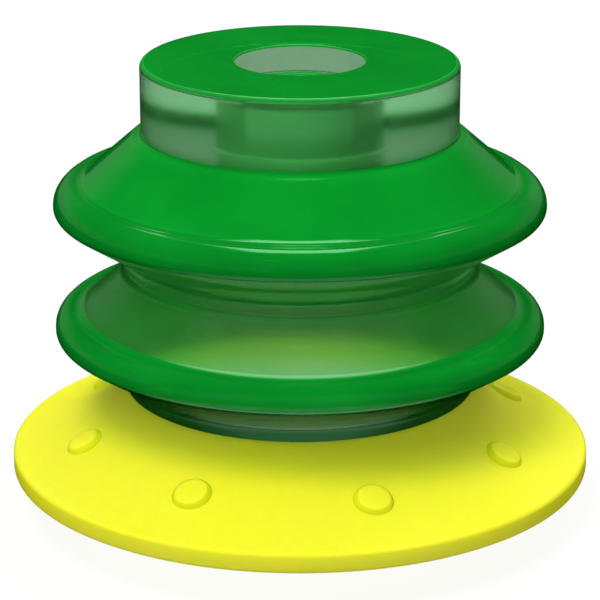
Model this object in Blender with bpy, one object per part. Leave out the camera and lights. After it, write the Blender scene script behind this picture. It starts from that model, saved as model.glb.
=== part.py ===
"""Bellows suction cup standing on its lip, modelled in metres with +Z up the cup's axis.

A green moulding of a neck and two folds carries a softer yellow lip. The folds bend at thin walls, so each
stiff ring, and each wall that bends between two rings, is an object of its own. The origin is on the axis,
in the plane that the lip rests on.
"""

import math
from typing import NamedTuple

import bmesh
import bpy
from mathutils import Matrix, Vector

MM = 0.001

# Heights, stacked from the lip's face up
LIP_HEIGHT = 5.5 * MM
FOOT_HEIGHT = 0.75 * MM
LOWER_UNDER_RISE = 2.9 * MM
LOWER_BEAD_HEIGHT = 1.45 * MM
LOWER_TOP_RISE = 3.0 * MM
WAIST_HEIGHT = 1.05 * MM
UPPER_UNDER_RISE = 2.85 * MM
UPPER_BEAD_HEIGHT = 1.45 * MM
SHOULDER_RISE = 3.05 * MM
NECK_HEIGHT = 5.0 * MM

# Neck, with a stepped bore for a push-in fitting
NECK_DIAMETER = 20.4 * MM
NECK_EDGE_ROUND = 0.3 * MM
NECK_FLARE = 0.4 * MM
NECK_FLARE_HEIGHT = 0.75 * MM
BORE_DIAMETER = 6.7 * MM
RECESS_DIAMETER = 8.3 * MM
RECESS_DEPTH = 1.75 * MM

# Folds: outer sizes of the rings, and radial thicknesses of the walls
UPPER_BEAD_DIAMETER = 31.8 * MM
UPPER_BEAD_ROUND = 0.8 * MM
UPPER_VALLEY_INSET = 1.6 * MM
UPPER_BEAD_DEPTH = 2.1 * MM
LOWER_BEAD_DIAMETER = 31.92 * MM
LOWER_BEAD_ROUND = 0.95 * MM
LOWER_VALLEY_INSET = 1.56 * MM
LOWER_BEAD_DEPTH = 1.85 * MM
BEAD_CORNER = 0.2 * MM
WAIST_DIAMETER = 23.1 * MM
FOOT_DIAMETER = 22.9 * MM
SHOULDER_WALL = 1.75 * MM
FOLD_WALL = 1.3 * MM
LOWER_TOP_SAG = 0.15 * MM

# Lip, flared out to a flat land
LIP_DIAMETER = 38.0 * MM
LIP_WALL = 1.0 * MM
LIP_RIM_THICKNESS = 1.3 * MM
LIP_RIM_ROUND = 0.25 * MM
LIP_LAND_WIDTH = 1.3 * MM
LIP_FLARE_REACH = 1.65 * MM
LIP_FLARE_HEIGHT = 2.5 * MM
LIP_ROOT_REACH = 1.2 * MM

# Studs in a ring on the lip
STUD_COUNT = 8
STUD_DIAMETER = 2.6 * MM
STUD_HEIGHT = 0.45 * MM
STUD_ROOT = 0.5 * MM
STUD_CLEARANCE = 0.7 * MM
STUD_FIRST_ANGLE = math.radians(17.93)

# Clearance between two objects that are one moulding on the real cup
SEAM_GAP = 0.2 * MM

# Facets
TURN_STEPS = 48
ARC_STEPS = 4
WALL_STEPS = 4
LIP_STEPS = 5
STUD_TURN_STEPS = 12
STUD_ARC_STEPS = 3
SHARP_ANGLE = math.radians(30)

GREEN = (0.007, 0.262, 0.026, 1.0)
YELLOW = (0.956, 0.956, 0.021, 1.0)
GREEN_ROUGHNESS = 0.25
YELLOW_ROUGHNESS = 0.4


class Seam(NamedTuple):
    """A level plane that divides the moulding, with the outer and inner radius of its wall there."""

    height: float
    outer: float
    inner: float


class Body(NamedTuple):
    """The empty that carries the objects of one moving body, and its height above the origin."""

    empty: bpy.types.Object
    height: float


FOOT_BOTTOM_Z = LIP_HEIGHT
FOOT_TOP_Z = FOOT_BOTTOM_Z + FOOT_HEIGHT
LOWER_BEAD_BOTTOM_Z = FOOT_TOP_Z + LOWER_UNDER_RISE
LOWER_BEAD_TOP_Z = LOWER_BEAD_BOTTOM_Z + LOWER_BEAD_HEIGHT
WAIST_BOTTOM_Z = LOWER_BEAD_TOP_Z + LOWER_TOP_RISE
WAIST_TOP_Z = WAIST_BOTTOM_Z + WAIST_HEIGHT
UPPER_BEAD_BOTTOM_Z = WAIST_TOP_Z + UPPER_UNDER_RISE
UPPER_BEAD_TOP_Z = UPPER_BEAD_BOTTOM_Z + UPPER_BEAD_HEIGHT
NECK_BASE_Z = UPPER_BEAD_TOP_Z + SHOULDER_RISE
NECK_TOP_Z = NECK_BASE_Z + NECK_HEIGHT

NECK_RADIUS = NECK_DIAMETER / 2
SHOULDER_TOP_RADIUS = NECK_RADIUS + NECK_FLARE
UPPER_BEAD_RADIUS = UPPER_BEAD_DIAMETER / 2
UPPER_VALLEY_RADIUS = UPPER_BEAD_RADIUS - UPPER_VALLEY_INSET
LOWER_BEAD_RADIUS = LOWER_BEAD_DIAMETER / 2
LOWER_VALLEY_RADIUS = LOWER_BEAD_RADIUS - LOWER_VALLEY_INSET
WAIST_RADIUS = WAIST_DIAMETER / 2
FOOT_RADIUS = FOOT_DIAMETER / 2
LIP_RADIUS = LIP_DIAMETER / 2
SKIRT_INNER_RADIUS = FOOT_RADIUS + LIP_ROOT_REACH
STUD_RADIUS = STUD_DIAMETER / 2
STUD_CIRCLE_RADIUS = SKIRT_INNER_RADIUS + STUD_CLEARANCE + STUD_RADIUS

NECK_BASE = Seam(NECK_BASE_Z, SHOULDER_TOP_RADIUS, SHOULDER_TOP_RADIUS - SHOULDER_WALL)
UPPER_BEAD_TOP = Seam(UPPER_BEAD_TOP_Z, UPPER_VALLEY_RADIUS, UPPER_VALLEY_RADIUS - SHOULDER_WALL)
UPPER_BEAD_BOTTOM = Seam(
    UPPER_BEAD_BOTTOM_Z, UPPER_BEAD_RADIUS - BEAD_CORNER, UPPER_BEAD_RADIUS - UPPER_BEAD_DEPTH
)
WAIST_TOP = Seam(WAIST_TOP_Z, WAIST_RADIUS, WAIST_RADIUS - FOLD_WALL)
WAIST_BOTTOM = Seam(WAIST_BOTTOM_Z, WAIST_RADIUS, WAIST_RADIUS - FOLD_WALL)
LOWER_BEAD_TOP = Seam(LOWER_BEAD_TOP_Z, LOWER_VALLEY_RADIUS, LOWER_VALLEY_RADIUS - FOLD_WALL)
LOWER_BEAD_BOTTOM = Seam(
    LOWER_BEAD_BOTTOM_Z, LOWER_BEAD_RADIUS - BEAD_CORNER, LOWER_BEAD_RADIUS - LOWER_BEAD_DEPTH
)
FOOT_TOP = Seam(FOOT_TOP_Z, FOOT_RADIUS, FOOT_RADIUS - FOLD_WALL)
FOOT_BOTTOM = Seam(FOOT_BOTTOM_Z, FOOT_RADIUS, FOOT_RADIUS - FOLD_WALL)


def clear_scene():
    for old in list(bpy.data.objects):
        bpy.data.objects.remove(old, do_unlink=True)


def moulded(name, colour, roughness):
    """A material for one of the two rubbers."""
    material = bpy.data.materials.new(name)
    material.use_nodes = True
    shader = material.node_tree.nodes["Principled BSDF"]
    shader.inputs["Base Color"].default_value = colour
    shader.inputs["Roughness"].default_value = roughness
    shader.inputs["Metallic"].default_value = 0.0
    return material


def body(name, height, carrier=None):
    """An empty on the cup's axis, at the height where its body is joined to the one that carries it."""
    empty = bpy.data.objects.new(name, None)
    bpy.context.scene.collection.objects.link(empty)
    empty.parent = carrier.empty if carrier else None
    empty.location.z = height - (carrier.height if carrier else 0.0)
    return Body(empty, height)


def arc(centre, radius, first_degrees, last_degrees, steps=ARC_STEPS):
    """Points of a round in the section plane, as (radius, height)."""
    points = []
    for step in range(steps + 1):
        angle = math.radians(first_degrees + (last_degrees - first_degrees) * step / steps)
        points.append((centre[0] + radius * math.cos(angle), centre[1] + radius * math.sin(angle)))
    return points


def curve_point(ends, pull, share):
    """A point on the curve from ends[0] to ends[1] that bends towards pull."""
    weights = ((1 - share) ** 2, 2 * share * (1 - share), share**2)
    corners = (ends[0], pull, ends[1])
    return tuple(sum(w * c[axis] for w, c in zip(weights, corners)) for axis in (0, 1))


def share_where(ends, pull, axis, value):
    """How far along that curve its radius (axis 0) or height (axis 1) comes to a value."""
    first, middle, last = ends[0][axis], pull[axis], ends[1][axis]
    square = first - 2 * middle + last
    slope = 2 * (middle - first)
    offset = first - value
    if abs(square) < 1e-9:
        return -offset / slope
    root = math.sqrt(slope**2 - 4 * square * offset)
    shares = ((-slope - root) / (2 * square), (-slope + root) / (2 * square))
    return min(shares, key=lambda share: abs(share - 0.5))


def wall_outline(upper, lower, sag=0.0):
    """Section of a thin wall between two seams. Its outer side bows in by the sag."""
    heights = [
        upper.height - SEAM_GAP / 2 + (lower.height - upper.height + SEAM_GAP) * step / WALL_STEPS
        for step in range(WALL_STEPS + 1)
    ]
    outer, inner = [], []
    for height in heights:
        share = (upper.height - height) / (upper.height - lower.height)
        bow = sag * 4 * share * (1 - share)
        outer.append((upper.outer + (lower.outer - upper.outer) * share - bow, height))
        inner.append((upper.inner + (lower.inner - upper.inner) * share - bow, height))
    return outer + inner[::-1]


def ring_outline(upper, lower):
    """Section of a plain ring between two seams."""
    top = upper.height - SEAM_GAP / 2
    bottom = lower.height + SEAM_GAP / 2
    return [(upper.outer, top), (lower.outer, bottom), (lower.inner, bottom), (upper.inner, top)]


def bead_outline(upper, lower, radius, rounding):
    """Section of a fold's rim: a round crown, a short upright face and a corner above the wall below."""
    top = upper.height - SEAM_GAP / 2
    bottom = lower.height + SEAM_GAP / 2
    crest = arc((radius - rounding, upper.height - rounding), rounding, 90, 0)
    corner = (radius, lower.height + BEAD_CORNER)
    rise = (upper.inner - lower.inner) / (upper.height - lower.height)
    inner_bottom = (lower.inner + rise * SEAM_GAP / 2, bottom)
    inner_top = (upper.inner - rise * SEAM_GAP / 2, top)
    return [(upper.outer, top), *crest, corner, (lower.outer, bottom), inner_bottom, inner_top]


def neck_outline():
    """Section of the neck: a thick ring with a stepped bore, flared where the shoulder leaves it."""
    base = NECK_BASE_Z + SEAM_GAP / 2
    bore = BORE_DIAMETER / 2
    recess = RECESS_DIAMETER / 2
    ledge = NECK_TOP_Z - RECESS_DEPTH
    edge = arc((NECK_RADIUS - NECK_EDGE_ROUND, NECK_TOP_Z - NECK_EDGE_ROUND), NECK_EDGE_ROUND, 90, 0, 2)
    flare_ends = ((NECK_RADIUS, base + NECK_FLARE_HEIGHT), (SHOULDER_TOP_RADIUS, base))
    flare_pull = (NECK_RADIUS, base + NECK_FLARE_HEIGHT / 3)
    flare = [curve_point(flare_ends, flare_pull, step / ARC_STEPS) for step in range(ARC_STEPS + 1)]
    mouth = [(recess, NECK_TOP_Z - NECK_EDGE_ROUND), (recess + NECK_EDGE_ROUND, NECK_TOP_Z)]
    return [*mouth, *edge, *flare, (bore, base), (bore, ledge), (recess, ledge)]


LIP_OUTER_ENDS = ((FOOT_RADIUS, FOOT_BOTTOM_Z), (LIP_RADIUS - LIP_RIM_ROUND, LIP_RIM_THICKNESS))
LIP_OUTER_PULL = (FOOT_RADIUS + LIP_FLARE_REACH, LIP_FLARE_HEIGHT)
LIP_UNDER_ENDS = ((FOOT_BOTTOM.inner, FOOT_BOTTOM_Z), (LIP_RADIUS - LIP_LAND_WIDTH, 0.0))
LIP_UNDER_PULL = (LIP_OUTER_PULL[0] - LIP_WALL, LIP_OUTER_PULL[1] - LIP_WALL)
LIP_SEAM_SHARE = share_where(LIP_OUTER_ENDS, LIP_OUTER_PULL, 0, SKIRT_INNER_RADIUS)
LIP_SEAM_Z = curve_point(LIP_OUTER_ENDS, LIP_OUTER_PULL, LIP_SEAM_SHARE)[1]


def lip_side(ends, pull, top, bottom):
    """Points of one side of the lip between two heights, from the top down."""
    first = share_where(ends, pull, 1, top)
    last = share_where(ends, pull, 1, bottom)
    shares = [first + (last - first) * step / LIP_STEPS for step in range(LIP_STEPS + 1)]
    return [curve_point(ends, pull, share) for share in shares]


def lip_root_outline():
    """Section of the part of the lip that bends, from the foot to the skirt."""
    top = FOOT_BOTTOM_Z - SEAM_GAP / 2
    bottom = LIP_SEAM_Z + SEAM_GAP / 2
    outer = lip_side(LIP_OUTER_ENDS, LIP_OUTER_PULL, top, bottom)
    under = lip_side(LIP_UNDER_ENDS, LIP_UNDER_PULL, top, bottom)
    return outer + under[::-1]


def lip_skirt_outline():
    """Section of the flared skirt, with a rounded rim and the flat land that it stands on."""
    top = LIP_SEAM_Z - SEAM_GAP / 2
    rim = LIP_RADIUS - LIP_RIM_ROUND
    outer = lip_side(LIP_OUTER_ENDS, LIP_OUTER_PULL, top, LIP_RIM_THICKNESS)
    rim_top = arc((rim, LIP_RIM_THICKNESS - LIP_RIM_ROUND), LIP_RIM_ROUND, 90, 0, 2)
    rim_bottom = arc((rim, LIP_RIM_ROUND), LIP_RIM_ROUND, 0, -90, 2)
    under = lip_side(LIP_UNDER_ENDS, LIP_UNDER_PULL, top, 0.0)
    return outer[:-1] + rim_top + rim_bottom + under[::-1]


def turned(name, outline, material, carrier):
    """A closed section turned about the cup's axis."""
    shape = bmesh.new()
    corners = [shape.verts.new((radius, 0.0, height - carrier.height)) for radius, height in outline]
    for first, second in zip(corners, corners[1:] + corners[:1]):
        shape.edges.new((first, second))
    bmesh.ops.spin(
        shape, geom=shape.verts[:] + shape.edges[:], cent=(0, 0, 0), axis=(0, 0, 1),
        angle=math.tau, steps=TURN_STEPS, use_merge=True,
    )
    bmesh.ops.recalc_face_normals(shape, faces=shape.faces[:])
    return placed(name, shape, material, carrier)


def placed(name, shape, material, carrier):
    """An object made from a bmesh, smooth except at its edges, on the empty of its body."""
    mesh = bpy.data.meshes.new(name)
    shape.to_mesh(mesh)
    shape.free()
    mesh.shade_smooth()
    mesh.set_sharp_from_angle(angle=SHARP_ANGLE)
    mesh.materials.append(material)
    piece = bpy.data.objects.new(name, mesh)
    bpy.context.scene.collection.objects.link(piece)
    piece.parent = carrier.empty
    return piece


def stud(shape, place):
    """One domed stud, with a root that reaches into the lip."""
    dome_radius = (STUD_RADIUS**2 + STUD_HEIGHT**2) / (2 * STUD_HEIGHT)
    half_angle = math.degrees(math.asin(STUD_RADIUS / dome_radius))
    outline = arc((0.0, STUD_HEIGHT - dome_radius), dome_radius, 90, 90 - half_angle, STUD_ARC_STEPS)
    outline += [(STUD_RADIUS, -STUD_ROOT), (0.0, -STUD_ROOT)]
    corners = [shape.verts.new(place @ Vector((radius, 0.0, height))) for radius, height in outline]
    edges = [shape.edges.new(pair) for pair in zip(corners, corners[1:])]
    axis = place.to_3x3() @ Vector((0, 0, 1))
    bmesh.ops.spin(
        shape, geom=corners + edges, cent=place.translation, axis=axis,
        angle=math.tau, steps=STUD_TURN_STEPS, use_merge=True,
    )


def add_studs(skirt, material, carrier):
    """Joins a ring of studs to the skirt, each square to the lip's upper side."""
    share = share_where(LIP_OUTER_ENDS, LIP_OUTER_PULL, 0, STUD_CIRCLE_RADIUS)
    foot = curve_point(LIP_OUTER_ENDS, LIP_OUTER_PULL, share)
    after = curve_point(LIP_OUTER_ENDS, LIP_OUTER_PULL, share + 0.01)
    tilt = math.atan2(foot[1] - after[1], after[0] - foot[0])
    shape = bmesh.new()
    for number in range(STUD_COUNT):
        angle = STUD_FIRST_ANGLE + math.tau * number / STUD_COUNT - math.pi / 2
        seat = Matrix.Translation((foot[0], 0.0, foot[1] - carrier.height))
        stud(shape, Matrix.Rotation(angle, 4, "Z") @ seat @ Matrix.Rotation(tilt, 4, "Y"))
    bmesh.ops.remove_doubles(shape, verts=shape.verts[:], dist=STUD_ROOT / 100)
    bmesh.ops.recalc_face_normals(shape, faces=shape.faces[:])
    studs = placed("stud_ring_guide", shape, material, carrier)
    studs.hide_render = True
    studs.display_type = "WIRE"
    union = skirt.modifiers.new("studs", "BOOLEAN")
    union.operation = "UNION"
    union.object = studs


def main():
    clear_scene()
    green = moulded("green_urethane", GREEN, GREEN_ROUGHNESS)
    yellow = moulded("yellow_urethane", YELLOW, YELLOW_ROUGHNESS)

    neck = body("neck_axis", NECK_BASE_Z)
    upper_fold = body("upper_fold_pivot", (NECK_BASE_Z + UPPER_BEAD_TOP_Z) / 2, neck)
    waist = body("waist_axis", WAIST_TOP_Z, upper_fold)
    lower_fold = body("lower_fold_axis", LOWER_BEAD_TOP_Z, waist)
    foot = body("foot_axis", FOOT_TOP_Z, lower_fold)
    lip = body("lip_pivot", (FOOT_BOTTOM_Z + LIP_SEAM_Z) / 2, foot)

    turned("neck_collar", neck_outline(), green, neck)
    turned("shoulder_wall", wall_outline(NECK_BASE, UPPER_BEAD_TOP), green, neck)

    upper_bead = bead_outline(UPPER_BEAD_TOP, UPPER_BEAD_BOTTOM, UPPER_BEAD_RADIUS, UPPER_BEAD_ROUND)
    turned("upper_bead", upper_bead, green, upper_fold)
    turned("upper_under_wall", wall_outline(UPPER_BEAD_BOTTOM, WAIST_TOP), green, upper_fold)

    turned("waist_ring", ring_outline(WAIST_TOP, WAIST_BOTTOM), green, waist)
    turned("lower_top_wall", wall_outline(WAIST_BOTTOM, LOWER_BEAD_TOP, LOWER_TOP_SAG), green, waist)

    lower_bead = bead_outline(LOWER_BEAD_TOP, LOWER_BEAD_BOTTOM, LOWER_BEAD_RADIUS, LOWER_BEAD_ROUND)
    turned("lower_bead", lower_bead, green, lower_fold)
    turned("lower_under_wall", wall_outline(LOWER_BEAD_BOTTOM, FOOT_TOP), green, lower_fold)

    turned("foot_collar", ring_outline(FOOT_TOP, FOOT_BOTTOM), green, foot)
    turned("lip_root", lip_root_outline(), yellow, foot)
    skirt = turned("lip_skirt", lip_skirt_outline(), yellow, lip)
    add_studs(skirt, yellow, lip)


main()
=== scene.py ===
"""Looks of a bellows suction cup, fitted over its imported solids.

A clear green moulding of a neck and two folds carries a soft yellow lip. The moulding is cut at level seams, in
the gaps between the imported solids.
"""

import math

import bmesh
import bpy
from mathutils import Matrix, Vector
from mathutils.geometry import interpolate_bezier


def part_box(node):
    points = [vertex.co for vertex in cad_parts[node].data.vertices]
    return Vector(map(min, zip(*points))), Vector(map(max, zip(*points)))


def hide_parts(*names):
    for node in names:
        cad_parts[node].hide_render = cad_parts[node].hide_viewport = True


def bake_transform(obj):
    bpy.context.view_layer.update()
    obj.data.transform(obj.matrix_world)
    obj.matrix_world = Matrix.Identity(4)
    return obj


MM = 0.001

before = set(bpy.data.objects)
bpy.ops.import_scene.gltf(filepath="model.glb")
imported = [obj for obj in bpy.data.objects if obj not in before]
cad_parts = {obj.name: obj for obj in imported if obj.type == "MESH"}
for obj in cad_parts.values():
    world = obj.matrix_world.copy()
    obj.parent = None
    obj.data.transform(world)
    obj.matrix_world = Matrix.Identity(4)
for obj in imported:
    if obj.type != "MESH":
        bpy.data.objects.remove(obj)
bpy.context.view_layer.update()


def low(node):
    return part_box(node)[0]


def high(node):
    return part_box(node)[1]


# Heights of the seams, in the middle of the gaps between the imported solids
HALF_GAP = (low("neck_collar").z - high("shoulder_wall").z) / 2
NECK_TOP_Z = high("neck_collar").z
NECK_BASE_Z = low("neck_collar").z - HALF_GAP
UPPER_BEAD_BOTTOM_Z = high("upper_under_wall").z + HALF_GAP
WAIST_TOP_Z = high("waist_ring").z + HALF_GAP
WAIST_BOTTOM_Z = low("waist_ring").z - HALF_GAP
LOWER_BEAD_BOTTOM_Z = high("lower_under_wall").z + HALF_GAP
FOOT_TOP_Z = high("foot_collar").z + HALF_GAP
FOOT_BOTTOM_Z = low("foot_collar").z - HALF_GAP

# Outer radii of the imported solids
SHOULDER_TOP_RADIUS = high("neck_collar").x
UPPER_BEAD_RADIUS = high("upper_bead").x
WAIST_RADIUS = high("waist_ring").x
LOWER_BEAD_RADIUS = high("lower_bead").x
FOOT_RADIUS = high("foot_collar").x
LIP_RADIUS = high("lip_skirt").x

# Neck and its stepped bore
NECK_RADIUS = SHOULDER_TOP_RADIUS - 0.4 * MM
NECK_EDGE_ROUND = 0.35 * MM
NECK_ROOT_ROUND = 0.2 * MM
NECK_LEDGE = (10.8 * MM, 22.1 * MM)
NECK_LEDGE_RISE = 0.16 * MM
NECK_FOOT_Z = 22.5 * MM
BORE_RADIUS = 3.35 * MM
RECESS_RADIUS = 4.15 * MM
RECESS_DEPTH = 1.75 * MM
MOUTH_ROUND = 0.12 * MM
BORE_ROUND = 0.15 * MM

# Folds: rims, the valleys behind them and the walls between
UPPER_VALLEY = (14.1 * MM, 19.21 * MM)
UPPER_CREST_Z = 19.06 * MM
UPPER_CORNER_Z = 17.45 * MM
LOWER_VALLEY = (14.4 * MM, 10.62 * MM)
LOWER_CREST_Z = 10.58 * MM
LOWER_CORNER_Z = 9.16 * MM
UPPER_VALLEY_ROUND = 0.36 * MM
LOWER_VALLEY_ROUND = 0.42 * MM
UPPER_BEAD_ROUND = 1.25 * MM
LOWER_BEAD_ROUND = 0.95 * MM
BEAD_CORNER_ROUND = 0.25 * MM
RIM_SEAM_DROP = 0.2 * MM
UPPER_BEAD_DEPTH = 2.1 * MM
LOWER_BEAD_DEPTH = 1.85 * MM
SHOULDER_WALL = 1.75 * MM
FOLD_WALL = 1.3 * MM
LOWER_TOP_WALL = 1.15 * MM
FOLD_ROUND = 0.3 * MM
BEND_ROUND = FOLD_ROUND * 0.9
WALL_CURVE_ROUND = 1.0 * MM
CEILING_ROUND = 0.5 * MM
LOWER_TOP_SAG = 0.15 * MM
# Width of the painted highlight just inside the lower valley
VALLEY_PAINTED_HIGHLIGHT_WIDTH = 0.3 * MM

# Lip
LIP_WALL = 1.0 * MM
LIP_RIM_THICKNESS = 1.3 * MM
LIP_RIM_ROUND = 0.25 * MM
LIP_LAND_WIDTH = 1.3 * MM
LIP_FLARE_REACH = 1.65 * MM
LIP_FLARE_HEIGHT = 2.5 * MM
LIP_CURVE_STEPS = 40
STUD_COUNT = 8
STUD_RADIUS = 1.3 * MM
STUD_HEIGHT = 0.42 * MM
STUD_ROOT = 0.5 * MM
STUD_EDGE_ROUND = 0.6 * MM
STUD_STEPS = 32
STUD_ROUND_STEPS = 8
STUD_PAINTED_SHADE_FACING = 0.8
STUD_CIRCLE_RADIUS = 14.65 * MM
STUD_FIRST_ANGLE = math.radians(17.93)

# Urethane: each depth of it lies between two shades
URETHANE_IOR = 1.57
GREEN_GLOSS = (0.3, 1.0, 0.5, 1.0)
DEEP_SHADES = ((0.0015, 0.29, 0.020), (0.003, 0.35, 0.027))
# Painted shade: a darker copy of the deep green, for the rims
RIM_PAINTED_SHADE_COLOURS = ((0.0012, 0.24, 0.017), (0.0024, 0.29, 0.023))
CLEAR_SHADES = ((0.19, 0.52, 0.23), (0.24, 0.58, 0.28))
# Painted shade: the clear neck deepens towards its foot
CLEAR_PAINTED_SHADE = (0.04, 0.39, 0.07)
CLEAR_PAINTED_SHADE_HEIGHTS = (22.5 * MM, 23.05 * MM)
MILKY_SHADES = ((0.24, 0.74, 0.31), (0.28, 0.82, 0.36))
# Painted shade on the bore's wall, where it is seen aslant and further down
MILKY_PAINTED_SHADE_ASLANT = (0.04, 0.50, 0.06)
MILKY_PAINTED_SHADE_LOW = (0.12, 0.60, 0.16)
MILKY_PAINTED_SHADE_HEIGHTS = (22.6 * MM, 23.8 * MM)
HAZY_SHADES = ((0.16, 0.25, 0.17), (0.19, 0.28, 0.20))
THIN_SHADES = ((0.16, 0.46, 0.17), (0.20, 0.52, 0.21))
# Painted highlight: a paler green along the lower fold's valley
VALLEY_PAINTED_HIGHLIGHT_COLOURS = ((0.17, 0.56, 0.20), (0.21, 0.62, 0.24))
SMOKY_SHADES = ((0.035, 0.32, 0.06), (0.05, 0.38, 0.075))
SHADED_SHADES = ((0.11, 0.24, 0.10), (0.14, 0.29, 0.12))
# Painted shade: the foot's outer face, under the lower rim and against the lip
FOOT_PAINTED_SHADE_COLOURS = ((0.006, 0.08, 0.010), (0.010, 0.10, 0.014))
THIN_ASLANT = (0.07, 0.52, 0.09)
# Painted shade on the sides of the lower fold's underside
SHADED_PAINTED_SHADE_SIDES = (0.005, 0.10, 0.012)
# Painted shade on the rounded edges of the studs
STUD_EDGE_PAINTED_SHADES = ((0.74, 0.78, 0.006), (0.80, 0.84, 0.010))
YELLOW_SHADES = ((0.92, 0.94, 0.025), (0.96, 0.98, 0.035))
LIGHT_SOAK = (0.95, 0.98, 0.95)
DEEP_SOAK = (0.92, 0.96, 0.92)
SMOKY_SOAK = (0.74, 0.82, 0.74)
THIN_SOAK = (0.72, 0.80, 0.72)
DARK_SOAK = (0.35, 0.45, 0.35)
POLISHED = (0.06, 0.10)
GLOSSY = (0.07, 0.12)
BRIGHT = (0.10, 0.15)
CLOUDED = (0.15, 0.21)
FROSTED = (0.18, 0.24)
SATIN = (0.3, 0.4)
SOFT_SATIN = (0.38, 0.5)
DULL = (0.5, 0.6)
CLOUD_SCALE = 150.0
DULL_SCALE = 650.0
GRAIN_SCALE = 3200.0
RING_SCALE = 900.0
RING_SHARE = 0.25
YELLOW_SPREAD = 0.6 * MM
YELLOW_SPREAD_SHARES = (1.0, 0.95, 0.25)
GREEN_RELIEF = 0.003 * MM
YELLOW_RELIEF = 0.01 * MM

# Fineness of the meshes
TURN_STEPS = 144
ROUND_STEPS = 7
SECTION_STEP = 0.45 * MM
MERGE = 0.002 * MM
SMOOTH_ANGLE = math.radians(32)


def link(piece):
    bpy.context.scene.collection.objects.link(piece)
    return piece


def turned(corners):
    """A closed section of (radius, height, rounding) corners, turned about the cup's axis."""
    shape = bmesh.new()
    points = [shape.verts.new((radius, 0.0, height)) for radius, height, _ in corners]
    shape.faces.new(points)
    for point, (_, _, rounding) in zip(points, corners):
        if rounding > 0.0:
            bmesh.ops.bevel(
                shape, geom=[point], offset=rounding, offset_type="OFFSET", affect="VERTICES",
                segments=ROUND_STEPS, profile=0.5, material=-1,
            )
    bmesh.ops.delete(shape, geom=shape.faces[:], context="FACES_ONLY")
    for edge in shape.edges[:]:
        cuts = int(edge.calc_length() / SECTION_STEP)
        if cuts:
            bmesh.ops.subdivide_edges(shape, edges=[edge], cuts=cuts)
    bmesh.ops.spin(
        shape, geom=shape.verts[:] + shape.edges[:], cent=(0, 0, 0), axis=(0, 0, 1),
        angle=math.tau, steps=TURN_STEPS, use_merge=True,
    )
    bmesh.ops.remove_doubles(shape, verts=shape.verts[:], dist=MERGE)
    bmesh.ops.recalc_face_normals(shape, faces=shape.faces[:])
    return shape


# How far a face has to turn outward, inward or up to count as one side of the moulding
SEAM_FACING = 0.99
SIDE_FACING = 0.93
WALL_FACING = 0.99
TOP_FACING = 0.98
CEILING_FACING = 0.9
SLOPE_FACING = 0.5
LEDGE_FACING = 0.2
INWARD_FACING = 0.05

# Which material a face has
DEEP, RIM_PAINTED_SHADE, CLEAR, MILKY, HAZY, THIN, VALLEY_PAINTED_HIGHLIGHT, SMOKY, SHADED, FOOT_PAINTED_SHADE, SOFT, SEAM = range(12)


def moulding(name, shape, materials, kind):
    """An object from a finished bmesh. kind gives each face's material from where it is and which way it faces."""
    for face in shape.faces:
        middle = face.calc_center_median()
        radius = middle.xy.length
        outward = face.normal.xy.dot(middle.xy) / radius
        face.material_index = kind(radius, middle.z, outward, face.normal.z)
    mesh = bpy.data.meshes.new(name)
    shape.to_mesh(mesh)
    shape.free()
    for material in materials:
        mesh.materials.append(material)
    mesh.shade_smooth()
    mesh.set_sharp_from_angle(angle=SMOOTH_ANGLE)
    return link(bpy.data.objects.new(name, mesh))


def at_seam(height, up, *seams):
    return abs(up) > SEAM_FACING and any(abs(height - seam) < MERGE for seam in seams)


def under_rim(rim, corner_z, wall_end, seam_z):
    """Radius at which the sloping wall under a rim meets its seam."""
    slope = (corner_z - wall_end[1]) / (rim - wall_end[0])
    return rim - (corner_z - seam_z) / slope


UPPER_SEAM_Z = UPPER_BEAD_BOTTOM_Z - RIM_SEAM_DROP
LOWER_SEAM_Z = LOWER_BEAD_BOTTOM_Z - RIM_SEAM_DROP
UPPER_SEAM_RADIUS = under_rim(UPPER_BEAD_RADIUS, UPPER_CORNER_Z, (WAIST_RADIUS, WAIST_TOP_Z), UPPER_SEAM_Z)
LOWER_SEAM_RADIUS = under_rim(LOWER_BEAD_RADIUS, LOWER_CORNER_Z, (FOOT_RADIUS, FOOT_TOP_Z), LOWER_SEAM_Z)
UPPER_SEAM_INNER = UPPER_BEAD_RADIUS - UPPER_BEAD_DEPTH
LOWER_SEAM_INNER = LOWER_BEAD_RADIUS - LOWER_BEAD_DEPTH


def neck_section():
    """Neck, shoulder and the upper fold's rim, with the stepped bore and the chamber's ceiling."""
    ledge_z = NECK_TOP_Z - RECESS_DEPTH
    return [
        (RECESS_RADIUS, NECK_TOP_Z, MOUTH_ROUND),
        (NECK_RADIUS, NECK_TOP_Z, NECK_EDGE_ROUND),
        (NECK_RADIUS, NECK_FOOT_Z, 0.0),
        (NECK_RADIUS, NECK_LEDGE[1] + NECK_LEDGE_RISE, NECK_ROOT_ROUND),
        (*NECK_LEDGE, NECK_ROOT_ROUND),
        (*UPPER_VALLEY, UPPER_VALLEY_ROUND),
        (UPPER_BEAD_RADIUS, UPPER_CREST_Z, UPPER_BEAD_ROUND),
        (UPPER_BEAD_RADIUS, UPPER_CORNER_Z, BEAD_CORNER_ROUND),
        (UPPER_SEAM_RADIUS, UPPER_SEAM_Z, 0.0),
        (UPPER_SEAM_INNER, UPPER_SEAM_Z, 0.0),
        (UPPER_VALLEY[0] - SHOULDER_WALL, UPPER_VALLEY[1], FOLD_ROUND),
        (SHOULDER_TOP_RADIUS - SHOULDER_WALL, NECK_BASE_Z, CEILING_ROUND),
        (BORE_RADIUS, NECK_BASE_Z, BORE_ROUND),
        (BORE_RADIUS, ledge_z, BORE_ROUND),
        (RECESS_RADIUS, ledge_z, BORE_ROUND),
    ]


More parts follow.
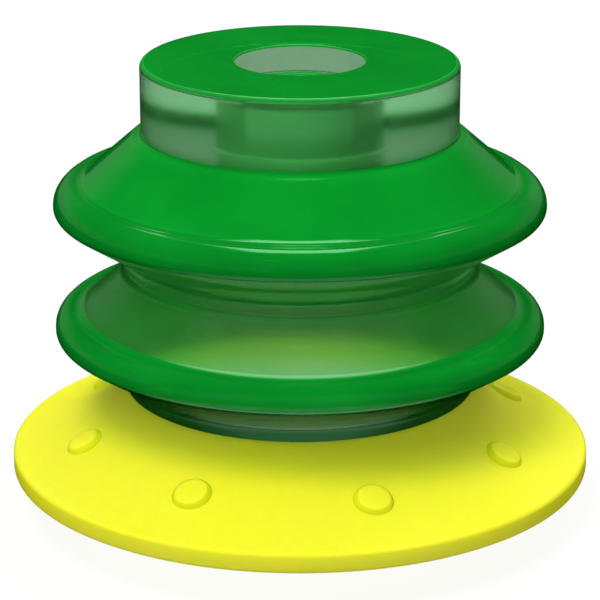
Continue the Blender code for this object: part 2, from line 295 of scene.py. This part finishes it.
def neck_kind(radius, height, outward, up):
    if at_seam(height, up, UPPER_SEAM_Z):
        return SEAM
    at_top = height > NECK_TOP_Z - NECK_EDGE_ROUND
    if at_top and -WALL_FACING < outward < SIDE_FACING and up < TOP_FACING:
        return SOFT
    if outward < INWARD_FACING and (up < SLOPE_FACING or radius < RECESS_RADIUS):
        on_ledge = up > LEDGE_FACING and radius < RECESS_RADIUS - BORE_ROUND
        if height > NECK_TOP_Z - MOUTH_ROUND or on_ledge:
            return DEEP
        if height > NECK_TOP_Z - RECESS_DEPTH - MERGE:
            return HAZY
        if up < -CEILING_FACING:
            return CLEAR
        return MILKY if radius < RECESS_RADIUS else SMOKY
    if outward > SIDE_FACING and height > NECK_FOOT_Z:
        return CLEAR
    # Painted shade: the rims outside the upper valley take a darker copy of the green
    return RIM_PAINTED_SHADE if radius > UPPER_VALLEY[0] else DEEP


def upper_under_section():
    """Underside of the upper fold, down to the waist's lower seam."""
    return [
        (UPPER_SEAM_RADIUS, UPPER_SEAM_Z, 0.0),
        (WAIST_RADIUS, WAIST_TOP_Z, FOLD_ROUND),
        (WAIST_RADIUS, WAIST_BOTTOM_Z, 0.0),
        (WAIST_RADIUS - FOLD_WALL, WAIST_BOTTOM_Z, 0.0),
        (WAIST_RADIUS - FOLD_WALL, WAIST_TOP_Z, FOLD_ROUND),
        (UPPER_SEAM_INNER, UPPER_SEAM_Z, 0.0),
    ]


def upper_under_kind(radius, height, outward, up):
    if at_seam(height, up, UPPER_SEAM_Z, WAIST_BOTTOM_Z):
        return SEAM
    return THIN if height < WAIST_TOP_Z - FOLD_ROUND / 2 else SMOKY


def lower_top_section():
    """Upper side of the lower fold and its rim."""
    bend_z = WAIST_BOTTOM_Z - FOLD_ROUND
    middle_radius = (WAIST_RADIUS + LOWER_VALLEY[0]) / 2 - LOWER_TOP_SAG
    middle_z = (bend_z + LOWER_VALLEY[1]) / 2
    inner_radius = LOWER_SEAM_INNER - LOWER_TOP_SAG
    slope = (middle_z - LOWER_VALLEY[1]) / (LOWER_VALLEY[0] - middle_radius)
    inner_z = middle_z - (inner_radius - middle_radius + LOWER_TOP_WALL) * slope
    return [
        (WAIST_RADIUS, WAIST_BOTTOM_Z, 0.0),
        (WAIST_RADIUS, bend_z, BEND_ROUND),
        (middle_radius, middle_z, WALL_CURVE_ROUND),
        (*LOWER_VALLEY, LOWER_VALLEY_ROUND),
        (LOWER_BEAD_RADIUS, LOWER_CREST_Z, LOWER_BEAD_ROUND),
        (LOWER_BEAD_RADIUS, LOWER_CORNER_Z, BEAD_CORNER_ROUND),
        (LOWER_SEAM_RADIUS, LOWER_SEAM_Z, 0.0),
        (LOWER_SEAM_INNER, LOWER_SEAM_Z, 0.0),
        (inner_radius, inner_z, FOLD_ROUND),
        (middle_radius - LOWER_TOP_WALL, middle_z, WALL_CURVE_ROUND),
        (WAIST_RADIUS - FOLD_WALL, bend_z, BEND_ROUND),
        (WAIST_RADIUS - FOLD_WALL, WAIST_BOTTOM_Z, 0.0),
    ]


def lower_top_kind(radius, height, outward, up):
    if at_seam(height, up, LOWER_SEAM_Z, WAIST_BOTTOM_Z):
        return SEAM
    # Painted highlight on the faces just inside the lower valley, painted shade on the rim beyond it
    if outward > 0.0 and radius > LOWER_VALLEY[0] - VALLEY_PAINTED_HIGHLIGHT_WIDTH:
        return RIM_PAINTED_SHADE if radius > LOWER_VALLEY[0] - MERGE else VALLEY_PAINTED_HIGHLIGHT
    return THIN


def lower_under_section():
    """Underside of the lower fold and the foot that the lip is bonded to."""
    return [
        (LOWER_SEAM_RADIUS, LOWER_SEAM_Z, 0.0),
        (FOOT_RADIUS, FOOT_TOP_Z, FOLD_ROUND),
        (FOOT_RADIUS, FOOT_BOTTOM_Z, 0.0),
        (FOOT_RADIUS - FOLD_WALL, FOOT_BOTTOM_Z, 0.0),
        (FOOT_RADIUS - FOLD_WALL, FOOT_TOP_Z, FOLD_ROUND),
        (LOWER_SEAM_INNER, LOWER_SEAM_Z, 0.0),
    ]


def lower_under_kind(radius, height, outward, up):
    if at_seam(height, up, LOWER_SEAM_Z, FOOT_BOTTOM_Z):
        return SEAM
    # Painted shade: the foot's outer face takes a much darker green
    on_foot = outward > 0.0 and height < FOOT_TOP_Z + FOLD_ROUND / 2
    return FOOT_PAINTED_SHADE if on_foot else SHADED


def flare(first, pull, last):
    """Points of a curve that leaves first and meets last, both towards pull."""
    first, pull, last = (Vector((*point, 0.0)) for point in (first, pull, last))
    handles = first.lerp(pull, 2 / 3), last.lerp(pull, 2 / 3)
    return interpolate_bezier(first, *handles, last, LIP_CURVE_STEPS)


LIP_PULL = (FOOT_RADIUS + LIP_FLARE_REACH, LIP_FLARE_HEIGHT)
LIP_UPPER_SIDE = flare(
    (FOOT_RADIUS, FOOT_BOTTOM_Z), LIP_PULL, (LIP_RADIUS - LIP_RIM_ROUND, LIP_RIM_THICKNESS)
)
LIP_UNDER_SIDE = flare(
    (FOOT_RADIUS - FOLD_WALL, FOOT_BOTTOM_Z),
    (LIP_PULL[0] - LIP_WALL, LIP_PULL[1] - LIP_WALL),
    (LIP_RADIUS - LIP_LAND_WIDTH, 0.0),
)


def lip_section():
    """Flared lip with a rounded rim and the flat land that it stands on."""
    upper = [(point.x, point.y, 0.0) for point in LIP_UPPER_SIDE[:-1]]
    under = [(point.x, point.y, 0.0) for point in reversed(LIP_UNDER_SIDE)]
    rim = [(LIP_RADIUS, LIP_RIM_THICKNESS, LIP_RIM_ROUND), (LIP_RADIUS, 0.0, LIP_RIM_ROUND)]
    return upper + rim + under


def stud_ring():
    """Low round studs with soft edges, each square to the lip's upper side and rooted in it."""
    after = next(n for n, point in enumerate(LIP_UPPER_SIDE) if point.x > STUD_CIRCLE_RADIUS)
    inner, outer = LIP_UPPER_SIDE[after - 1], LIP_UPPER_SIDE[after]
    seat_z = inner.lerp(outer, (STUD_CIRCLE_RADIUS - inner.x) / (outer.x - inner.x)).y
    tilt = math.atan2(inner.y - outer.y, outer.x - inner.x)
    ring = bmesh.new()
    for number in range(STUD_COUNT):
        angle = STUD_FIRST_ANGLE + math.tau * number / STUD_COUNT - math.pi / 2
        seat = Matrix.Translation((STUD_CIRCLE_RADIUS, 0.0, seat_z))
        place = Matrix.Rotation(angle, 4, "Z") @ seat @ Matrix.Rotation(tilt, 4, "Y")
        made = bmesh.ops.create_cone(
            ring, cap_ends=True, segments=STUD_STEPS, radius1=STUD_RADIUS, radius2=STUD_RADIUS,
            depth=STUD_HEIGHT + STUD_ROOT,
            matrix=place @ Matrix.Translation((0, 0, (STUD_HEIGHT - STUD_ROOT) / 2)),
        )
        up = place.to_3x3() @ Vector((0, 0, 1))
        top = max({face for vert in made["verts"] for face in vert.link_faces}, key=lambda f: f.normal.dot(up))
        bmesh.ops.bevel(
            ring, geom=top.edges[:], offset=STUD_EDGE_ROUND, offset_type="OFFSET", affect="EDGES",
            segments=STUD_ROUND_STEPS, profile=0.5, material=-1,
        )
        middle = place.translation
        ring.normal_update()
        for face in ring.faces:
            if (face.calc_center_median() - middle).length < 2 * STUD_RADIUS:
                # Painted shade: the steep faces of each stud take the darker yellow
                face.material_index = 1 if abs(face.normal.dot(up)) < STUD_PAINTED_SHADE_FACING else 0
    return ring


def joined(piece, addition):
    """The piece with another mesh joined to it, as one closed skin."""
    guide_mesh = bpy.data.meshes.new("stud_guide")
    addition.to_mesh(guide_mesh)
    addition.free()
    for material in piece.data.materials:
        guide_mesh.materials.append(material)
    guide = link(bpy.data.objects.new("stud_guide", guide_mesh))
    union = piece.modifiers.new("studs", "BOOLEAN")
    union.operation = "UNION"
    union.object = guide
    drawn = piece.evaluated_get(bpy.context.evaluated_depsgraph_get())
    skin = bpy.data.meshes.new_from_object(drawn)
    piece.modifiers.clear()
    bpy.data.objects.remove(guide)
    piece.data = skin
    skin.shade_smooth()
    skin.set_sharp_from_angle(angle=SMOOTH_ANGLE)
    return piece


def noise(tree, scale, detail, place):
    node = tree.nodes.new("ShaderNodeTexNoise")
    node.inputs["Scale"].default_value = scale
    node.inputs["Detail"].default_value = detail
    tree.links.new(place, node.inputs["Vector"])
    return node.outputs["Fac"]


def mapped(tree, value, from_range, to_range):
    node = tree.nodes.new("ShaderNodeMapRange")
    node.inputs["From Min"].default_value, node.inputs["From Max"].default_value = from_range
    node.inputs["To Min"].default_value, node.inputs["To Max"].default_value = to_range
    tree.links.new(value, node.inputs["Value"])
    return node.outputs["Result"]


def combined(tree, operation, first, second):
    node = tree.nodes.new("ShaderNodeMath")
    node.operation = operation
    for socket, value in zip(node.inputs, (first, second)):
        if isinstance(value, (int, float)):
            socket.default_value = value
        else:
            tree.links.new(value, socket)
    return node.outputs[0]


def chosen(tree, share, first, second):
    node = tree.nodes.new("ShaderNodeMix")
    for socket, value in zip((node.inputs[0], node.inputs[2], node.inputs[3]), (share, first, second)):
        if isinstance(value, (int, float)):
            socket.default_value = value
        else:
            tree.links.new(value, socket)
    return node.outputs[0]


def shaded(tree, share, first, second):
    """A colour between two. Each may be a plain colour or a socket."""
    node = tree.nodes.new("ShaderNodeMix")
    node.data_type = "RGBA"
    sockets = {socket.identifier: socket for socket in node.inputs}
    tree.links.new(share, sockets["Factor_Float"])
    for socket, colour in ((sockets["A_Color"], first), (sockets["B_Color"], second)):
        if isinstance(colour, tuple):
            socket.default_value = (*colour, 1.0)
        else:
            tree.links.new(colour, socket)
    return next(socket for socket in node.outputs if socket.identifier == "Result_Color")


def moulded_skin():
    """Cloudy depth of colour, dull patches and the fine turned lines of the mould."""
    group = bpy.data.node_groups.new("moulded_skin", "ShaderNodeTree")
    for name in ("Cloud", "Dull", "Height"):
        group.interface.new_socket(name, in_out="OUTPUT", socket_type="NodeSocketFloat")
    out = group.nodes.new("NodeGroupOutput")
    place = group.nodes.new("ShaderNodeTexCoord").outputs["Object"]
    cloud = noise(group, CLOUD_SCALE, 3.0, place)
    group.links.new(mapped(group, cloud, (0.3, 0.7), (0.0, 1.0)), out.inputs["Cloud"])
    dull = noise(group, DULL_SCALE, 4.0, place)
    group.links.new(mapped(group, dull, (0.45, 0.75), (0.0, 1.0)), out.inputs["Dull"])
    grain = noise(group, GRAIN_SCALE, 2.0, place)
    rings = group.nodes.new("ShaderNodeTexWave")
    rings.wave_type = "RINGS"
    rings.rings_direction = "Z"
    rings.inputs["Scale"].default_value = RING_SCALE
    rings.inputs["Distortion"].default_value = 0.4
    group.links.new(place, rings.inputs["Vector"])
    lines = combined(group, "MULTIPLY", rings.outputs["Fac"], RING_SHARE)
    group.links.new(combined(group, "ADD", grain, lines), out.inputs["Height"])
    return group


def let_lamps_through(material, tint):
    """Clear to the rays from lamps, so that light soaks through the moulding and onto what is behind it."""
    tree = material.node_tree
    film = tree.nodes.new("ShaderNodeBsdfTransparent")
    film.inputs["Color"].default_value = (*tint, 1.0)
    mix = tree.nodes.new("ShaderNodeMixShader")
    tree.links.new(tree.nodes.new("ShaderNodeLightPath").outputs["Is Shadow Ray"], mix.inputs[0])
    tree.links.new(tree.nodes["Principled BSDF"].outputs[0], mix.inputs[1])
    tree.links.new(film.outputs[0], mix.inputs[2])
    tree.links.new(mix.outputs[0], tree.nodes["Material Output"].inputs["Surface"])


def urethane(name, skin, shades, roughness, relief):
    """A moulded urethane between two shades. The caller sets what is the same all over."""
    material = bpy.data.materials.new(name)
    material.use_nodes = True
    tree = material.node_tree
    shader = tree.nodes["Principled BSDF"]
    detail = tree.nodes.new("ShaderNodeGroup")
    detail.node_tree = skin
    tree.links.new(shaded(tree, detail.outputs["Cloud"], *shades), shader.inputs["Base Color"])
    tree.links.new(mapped(tree, detail.outputs["Dull"], (0.0, 1.0), roughness), shader.inputs["Roughness"])
    bump = tree.nodes.new("ShaderNodeBump")
    bump.inputs["Strength"].default_value = 0.5
    bump.inputs["Distance"].default_value = relief
    tree.links.new(detail.outputs["Height"], bump.inputs["Height"])
    tree.links.new(bump.outputs["Normal"], shader.inputs["Normal"])
    return material, shader


def deepen_aslant(material, shade, facing):
    """A deeper colour where the wall is seen aslant: partly the longer way through the urethane, partly painted
    shade.
    """
    tree = material.node_tree
    base = tree.nodes["Principled BSDF"].inputs["Base Color"]
    aslant = mapped(tree, tree.nodes.new("ShaderNodeLayerWeight").outputs["Facing"], facing, (0.0, 1.0))
    tree.links.new(shaded(tree, aslant, base.links[0].from_socket, shade), base)


def paint_shade_below(material, shade, heights):
    """Painted shade: a deeper colour lower down, where less light reaches."""
    tree = material.node_tree
    base = tree.nodes["Principled BSDF"].inputs["Base Color"]
    place = tree.nodes.new("ShaderNodeSeparateXYZ")
    tree.links.new(tree.nodes.new("ShaderNodeTexCoord").outputs["Object"], place.inputs[0])
    below = mapped(tree, place.outputs["Z"], heights, (1.0, 0.0))
    tree.links.new(shaded(tree, below, base.links[0].from_socket, shade), base)


def green(name, skin, shades, roughness, transmission, soaked):
    """A firm green urethane. soaked is the share of lamp light that each face of it lets through."""
    material, shader = urethane(name, skin, shades, roughness, GREEN_RELIEF)
    shader.inputs["IOR"].default_value = URETHANE_IOR
    shader.inputs["Transmission Weight"].default_value = transmission
    shader.inputs["Specular Tint"].default_value = GREEN_GLOSS
    let_lamps_through(material, soaked)
    return material


def greens(skin):
    """The same urethane where it is coloured through, thick and clear, thin, and in the dark of the folds; some
    copies carry painted shade (rims, bore, neck foot, foot, lower underside) and one a painted highlight (lower
    valley).
    """
    deep = green("deep_green_urethane", skin, DEEP_SHADES, GLOSSY, 0.15, DEEP_SOAK)
    # Painted shade: a darker copy of the deep green, for the rims
    rim = green("rim_painted_shade_green_urethane", skin, RIM_PAINTED_SHADE_COLOURS, GLOSSY, 0.15, DEEP_SOAK)
    clear = green("clear_green_urethane", skin, CLEAR_SHADES, CLOUDED, 0.92, LIGHT_SOAK)
    # Painted shade: the clear neck deepens towards its foot
    paint_shade_below(clear, CLEAR_PAINTED_SHADE, CLEAR_PAINTED_SHADE_HEIGHTS)
    milky = green("milky_green_urethane", skin, MILKY_SHADES, SATIN, 0.15, LIGHT_SOAK)
    # Painted shade on the bore's wall, where seen aslant and towards its foot
    deepen_aslant(milky, MILKY_PAINTED_SHADE_ASLANT, (0.24, 0.27))
    paint_shade_below(milky, MILKY_PAINTED_SHADE_LOW, MILKY_PAINTED_SHADE_HEIGHTS)
    hazy = green("hazy_green_urethane", skin, HAZY_SHADES, POLISHED, 0.92, LIGHT_SOAK)
    thin = green("thin_green_urethane", skin, THIN_SHADES, FROSTED, 0.85, THIN_SOAK)
    deepen_aslant(thin, THIN_ASLANT, (0.12, 0.25))
    # Painted highlight along the lower valley, fading where seen aslant into the rims' painted shade
    valley_highlight = green("valley_painted_highlight_green_urethane", skin, VALLEY_PAINTED_HIGHLIGHT_COLOURS, BRIGHT, 0.15, THIN_SOAK)
    deepen_aslant(valley_highlight, RIM_PAINTED_SHADE_COLOURS[1], (0.22, 0.30))
    smoky = green("smoky_green_urethane", skin, SMOKY_SHADES, POLISHED, 0.5, SMOKY_SOAK)
    shady = green("shaded_green_urethane", skin, SHADED_SHADES, BRIGHT, 0.8, DARK_SOAK)
    # Painted shade on the sides of the lower fold's underside
    deepen_aslant(shady, SHADED_PAINTED_SHADE_SIDES, (0.78, 0.90))
    # Painted shade: a much darker green for the foot's outer face
    foot_shade = green("foot_painted_shade_green_urethane", skin, FOOT_PAINTED_SHADE_COLOURS, BRIGHT, 0.1, DARK_SOAK)
    soft = green("soft_edged_green_urethane", skin, DEEP_SHADES, DULL, 0.15, DEEP_SOAK)
    return deep, rim, clear, milky, hazy, thin, valley_highlight, smoky, shady, foot_shade, soft, bonded_seam()


def yellow(name, skin, shades):
    """A soft yellow urethane that light spreads in."""
    material, shader = urethane(name, skin, shades, SOFT_SATIN, YELLOW_RELIEF)
    shader.inputs["Specular IOR Level"].default_value = 0.3
    shader.inputs["Subsurface Weight"].default_value = 1.0
    shader.inputs["Subsurface Radius"].default_value = YELLOW_SPREAD_SHARES
    shader.inputs["Subsurface Scale"].default_value = YELLOW_SPREAD
    return material


def yellows(skin):
    """The lip's urethane, and a darker copy of it as painted shade on the rounded edges of the studs."""
    lip = yellow("soft_yellow_urethane", skin, YELLOW_SHADES)
    stud_edge_shade = yellow("stud_edge_painted_shade_yellow_urethane", skin, STUD_EDGE_PAINTED_SHADES)
    return lip, stud_edge_shade


def bonded_seam():
    """Fully clear, so that two stretches of one moulding look through to each other."""
    material = bpy.data.materials.new("bonded_seam")
    material.use_nodes = True
    shader = material.node_tree.nodes["Principled BSDF"]
    shader.inputs["Alpha"].default_value = 0.0
    return material


def build_cup():
    skin = moulded_skin()
    body = greens(skin)

    neck = moulding("neck_and_shoulder", turned(neck_section()), body, neck_kind)
    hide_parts("neck_collar", "shoulder_wall", "upper_bead")
    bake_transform(neck)

    upper_under = moulding("upper_fold_underside", turned(upper_under_section()), body, upper_under_kind)
    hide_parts("upper_under_wall", "waist_ring")
    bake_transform(upper_under)

    lower_top = moulding("lower_fold_top", turned(lower_top_section()), body, lower_top_kind)
    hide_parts("lower_top_wall", "lower_bead")
    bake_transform(lower_top)

    lower_under = moulding("lower_fold_underside", turned(lower_under_section()), body, lower_under_kind)
    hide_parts("lower_under_wall", "foot_collar")
    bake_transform(lower_under)

    skirt = moulding("flared_lip", turned(lip_section()), yellows(skin), lambda *where: 0)
    lip = joined(skirt, stud_ring())
    lip.visible_glossy = False
    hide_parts("lip_root", "lip_skirt")
    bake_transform(lip)


# Studio
CAMERA_PLACE = (0.0, -158.9 * MM, 65.2 * MM)
CAMERA_PITCH = math.radians(90.0 - 18.87)
CAMERA_LENS = 153.9
FLOOR_REACH = 6.0
FLOOR_DROP = 3.0 * MM
FLOOR_GLOW = 0.9
KEY = dict(direction=(-0.2, -0.45, 0.87), distance=0.45, size=0.16, level=0.67)
BACK = dict(direction=(0.35, 0.62, 0.70), distance=0.6, size=0.5, level=0.32)
INSIDE_LEVEL = 0.3
STUDIO_DARK = 0.01
SIDE_PANEL = 0.15
STRIP_LEVEL = 6.5
STRIP_SIDE = (0.13, 0.18)
STRIP_FRONT = (0.16, 0.24)
STRIP_BACK = (0.80, 0.86)
STRIP_FOOT = (0.0, 0.1)
PANEL_SIDE = (0.14, 0.27)
PANEL_TOP = (0.26, 0.45)
GROUND_EDGE = (-0.01, 0.02)
FLOOR_MIRRORED = 0.05
FLOOR_GLOW_UNDER_CUP = 1.2
CARD_LEVEL = 1.0
CARD_FRONT = (-48 * MM, -36 * MM)
CARD_BACK = (-13 * MM, -6 * MM)
CARD_SIDE = (12 * MM, 26 * MM)
FLOOR_PAINTED_SHADOW = 0.55
FLOOR_PAINTED_SHADOW_SIDE = (4 * MM, 9 * MM)
FLOOR_HUSH = 0.7
BACKDROP_LEVEL = 0.6
SKY_HORIZON = 0.24
SKY_RISE = 0.66


def build_camera():
    data = bpy.data.cameras.new("camera")
    data.lens = CAMERA_LENS
    data.sensor_width = 36.0
    data.clip_start = 0.005
    data.clip_end = 50.0
    camera = link(bpy.data.objects.new("camera", data))
    camera.location = CAMERA_PLACE
    camera.rotation_euler = (CAMERA_PITCH, 0.0, 0.0)
    bpy.context.scene.camera = camera


def build_floor():
    """White floor that keeps the shadow. The gloss mirrors only a pale card on it, and it is clear from below.
    Under the cup it glows for diffuse rays, painted light for the inside of the lip, and rays through the walls
    see a painted shadow there.
    """
    shape = bmesh.new()
    bmesh.ops.create_circle(shape, cap_ends=True, segments=96, radius=FLOOR_REACH)
    mesh = bpy.data.meshes.new("floor")
    shape.to_mesh(mesh)
    shape.free()
    material = bpy.data.materials.new("white_floor")
    material.use_nodes = True
    tree = material.node_tree
    shader = tree.nodes["Principled BSDF"]
    shader.inputs["Base Color"].default_value = (0.9, 0.9, 0.9, 1.0)
    shader.inputs["Roughness"].default_value = 1.0
    shader.inputs["Specular IOR Level"].default_value = 0.0
    paths = tree.nodes.new("ShaderNodeLightPath").outputs
    seen = combined(tree, "MAXIMUM", paths["Is Camera Ray"], paths["Is Glossy Ray"])
    seen = combined(tree, "MAXIMUM", seen, paths["Is Transmission Ray"])
    mirrored = combined(tree, "MULTIPLY", paths["Is Glossy Ray"], paths["Is Reflection Ray"])
    diffuse = paths["Is Diffuse Ray"]
    place = tree.nodes.new("ShaderNodeTexCoord").outputs["Object"]
    middle = tree.nodes.new("ShaderNodeVectorMath")
    middle.operation = "LENGTH"
    tree.links.new(place, middle.inputs[0])
    edge = LIP_RADIUS - LIP_LAND_WIDTH, LIP_RADIUS
    hushed = mapped(tree, middle.outputs["Value"], edge, (1.0, FLOOR_HUSH))
    # Painted light: under the cup the floor glows for diffuse rays, to light the inside of the lip
    under = mapped(tree, middle.outputs["Value"], edge, (FLOOR_GLOW_UNDER_CUP, 0.0))
    split = tree.nodes.new("ShaderNodeSeparateXYZ")
    tree.links.new(place, split.inputs[0])
    card = mapped(tree, split.outputs["Y"], CARD_FRONT, (FLOOR_MIRRORED, CARD_LEVEL))
    card = combined(tree, "MULTIPLY", card, mapped(tree, split.outputs["Y"], CARD_BACK, (1.0, 0.0)))
    aside = combined(tree, "ABSOLUTE", split.outputs["X"], 0.0)
    card = combined(tree, "MULTIPLY", card, mapped(tree, aside, CARD_SIDE, (1.0, 0.0)))
    glow = tree.nodes.new("ShaderNodeEmission")
    # Painted shadow: under the cup, rays through the walls find the floor darker towards the sides
    inside = mapped(tree, middle.outputs["Value"], edge, (1.0, 0.0))
    painted_shadow = combined(tree, "MULTIPLY", inside, mapped(tree, aside, FLOOR_PAINTED_SHADOW_SIDE, (0.0, FLOOR_PAINTED_SHADOW)))
    painted_shadow = combined(tree, "MULTIPLY", painted_shadow, paths["Is Transmission Ray"])
    plain = combined(tree, "SUBTRACT", 1.0, painted_shadow)
    level = chosen(tree, mirrored, chosen(tree, diffuse, plain, under), card)
    tree.links.new(level, glow.inputs["Strength"])
    mix = tree.nodes.new("ShaderNodeMixShader")
    share = chosen(tree, diffuse, combined(tree, "MULTIPLY", seen, FLOOR_GLOW), hushed)
    tree.links.new(combined(tree, "MAXIMUM", share, mirrored), mix.inputs[0])
    tree.links.new(shader.outputs[0], mix.inputs[1])
    tree.links.new(glow.outputs[0], mix.inputs[2])
    from_below = tree.nodes.new("ShaderNodeMixShader")
    tree.links.new(tree.nodes.new("ShaderNodeNewGeometry").outputs["Backfacing"], from_below.inputs[0])
    tree.links.new(mix.outputs[0], from_below.inputs[1])
    tree.links.new(tree.nodes.new("ShaderNodeBsdfTransparent").outputs[0], from_below.inputs[2])
    tree.links.new(from_below.outputs[0], tree.nodes["Material Output"].inputs["Surface"])
    mesh.materials.append(material)
    floor = link(bpy.data.objects.new("floor", mesh))
    floor.location.z = -FLOOR_DROP


def build_world():
    """White where the camera looks past the object, a sky that brightens overhead for diffuse light, a dark studio
    with a strip light and two pale side panels for what the gloss mirrors, and a backdrop behind clear walls."""
    world = bpy.data.worlds.new("studio")
    bpy.context.scene.world = world
    world.use_nodes = True
    tree = world.node_tree
    tree.nodes.clear()
    paths = tree.nodes.new("ShaderNodeLightPath").outputs
    split = tree.nodes.new("ShaderNodeSeparateXYZ")
    tree.links.new(tree.nodes.new("ShaderNodeTexCoord").outputs["Generated"], split.inputs[0])
    aside = combined(tree, "ABSOLUTE", split.outputs["X"], 0.0)
    back = split.outputs["Y"]
    height = split.outputs["Z"]

    strip = mapped(tree, aside, STRIP_SIDE, (STRIP_LEVEL, 0.0))
    strip = combined(tree, "MULTIPLY", strip, mapped(tree, back, STRIP_FRONT, (0.0, 1.0)))
    strip = combined(tree, "MULTIPLY", strip, mapped(tree, back, STRIP_BACK, (1.0, 0.0)))
    strip = combined(tree, "MULTIPLY", strip, mapped(tree, height, STRIP_FOOT, (0.0, 1.0)))
    panel = mapped(tree, aside, PANEL_SIDE, (0.0, SIDE_PANEL))
    panel = combined(tree, "MULTIPLY", panel, mapped(tree, height, PANEL_TOP, (1.0, 0.0)))
    studio = combined(tree, "ADD", combined(tree, "ADD", strip, panel), STUDIO_DARK)
    ground = mapped(tree, height, GROUND_EDGE, (1.0, 0.0))

    glossy = paths["Is Glossy Ray"]
    through = paths["Is Transmission Ray"]
    first = combined(tree, "LESS_THAN", paths["Diffuse Depth"], 0.5)
    sky = mapped(tree, height, (0.0, 1.0), (SKY_HORIZON, SKY_HORIZON + SKY_RISE))
    backdrop = combined(tree, "MAXIMUM", combined(tree, "MAXIMUM", ground, BACKDROP_LEVEL), strip)
    level = chosen(tree, through, sky, INSIDE_LEVEL)
    level = chosen(tree, combined(tree, "MULTIPLY", glossy, first), level, studio)
    level = chosen(tree, combined(tree, "MULTIPLY", through, first), level, backdrop)
    level = combined(tree, "MAXIMUM", level, paths["Is Camera Ray"])
    background = tree.nodes.new("ShaderNodeBackground")
    tree.links.new(level, background.inputs["Strength"])
    out = tree.nodes.new("ShaderNodeOutputWorld")
    tree.links.new(background.outputs[0], out.inputs["Surface"])


def build_lamp(name, direction, distance, size, level):
    """A round lamp that lights a surface facing it to the given level, and shows in no mirror image."""
    direction = Vector(direction)
    data = bpy.data.lights.new(name, "AREA")
    data.shape = "DISK"
    data.size = size
    data.energy = level * (math.pi * distance) ** 2
    lamp = link(bpy.data.objects.new(name, data))
    lamp.location = direction.normalized() * distance
    lamp.rotation_mode = "QUATERNION"
    lamp.rotation_quaternion = direction.to_track_quat("Z", "Y")
    lamp.visible_camera = False
    lamp.visible_glossy = False
    lamp.visible_transmission = False


build_cup()
build_camera()
build_floor()
build_world()
build_lamp("key", **KEY)
build_lamp("back", **BACK)

scene = bpy.context.scene
scene.view_settings.view_transform = "Standard"
scene.cycles.transparent_max_bounces = 32
